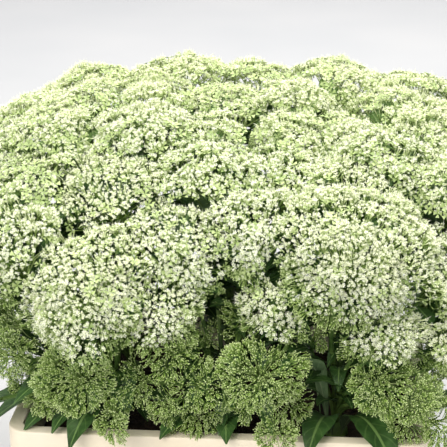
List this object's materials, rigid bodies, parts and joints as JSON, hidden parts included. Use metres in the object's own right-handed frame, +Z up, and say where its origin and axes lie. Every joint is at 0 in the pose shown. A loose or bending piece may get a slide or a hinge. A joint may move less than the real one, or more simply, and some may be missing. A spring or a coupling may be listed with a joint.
{
  "type": "potted white throatwort in a rectangular tub",
  "caption": "Rectangular cream plastic tub densely planted with white throatwort: domed heads of tiny white flowers over green bud heads and leaves.",
  "frame": {"origin": "centre of the flat underside of the tub", "axes": "+Z up out of the tub, +X along its length to the right, +Y to the back, front of the tub to -Y"},
  "size_m": [0.546, 0.4792, 0.4842],
  "materials": {
    "tub_plastic": "satin",
    "potting_soil": "matte",
    "stem": "satin",
    "open_flowers": "matte",
    "green_buds": "matte",
    "leaf": "satin"
  },
  "bodies": {
    "root": {"tub": "tub_plastic", "potting_soil": "potting_soil", "stems_front_left": "stem", "stems_front_middle": "stem", "stems_front_right": "stem", "stems_back_left": "stem", "stems_back_middle": "stem", "stems_back_right": "stem", "flower_head_01": "open_flowers", "flower_head_02": "open_flowers", "flower_head_03": "open_flowers", "flower_head_04": "open_flowers", "flower_head_05": "open_flowers", "flower_head_06": "open_flowers", "flower_head_07": "open_flowers", "flower_head_08": "open_flowers", "flower_head_09": "open_flowers", "flower_head_10": "open_flowers", "flower_head_11": "open_flowers", "flower_head_12": "open_flowers", "flower_head_13": "open_flowers", "flower_head_14": "open_flowers", "flower_head_15": "open_flowers", "flower_head_16": "open_flowers", "flower_head_17": "open_flowers", "flower_head_18": "open_flowers", "flower_head_19": "open_flowers", "flower_head_20": "open_flowers", "flower_head_21": "open_flowers", "flower_head_22": "open_flowers", "flower_head_23": "open_flowers", "flower_head_24": "open_flowers", "flower_head_25": "open_flowers", "flower_head_26": "open_flowers", "flower_head_27": "open_flowers", "flower_head_28": "open_flowers", "flower_head_29": "open_flowers", "flower_head_30": "open_flowers", "flower_head_31": "open_flowers", "flower_head_32": "open_flowers", "flower_head_33": "open_flowers", "flower_head_34": "open_flowers", "flower_head_35": "open_flowers", "bud_head_01": "green_buds", "bud_head_02": "green_buds", "bud_head_03": "green_buds", "bud_head_04": "green_buds", "bud_head_05": "green_buds", "bud_head_06": "green_buds", "bud_head_07": "green_buds", "bud_head_08": "green_buds", "bud_head_09": "green_buds", "bud_head_10": "green_buds", "leaf_01": "leaf", "leaf_02": "leaf", "leaf_03": "leaf", "leaf_04": "leaf", "leaf_05": "leaf", "leaf_06": "leaf", "leaf_07": "leaf"}
  },
  "joints": []
}
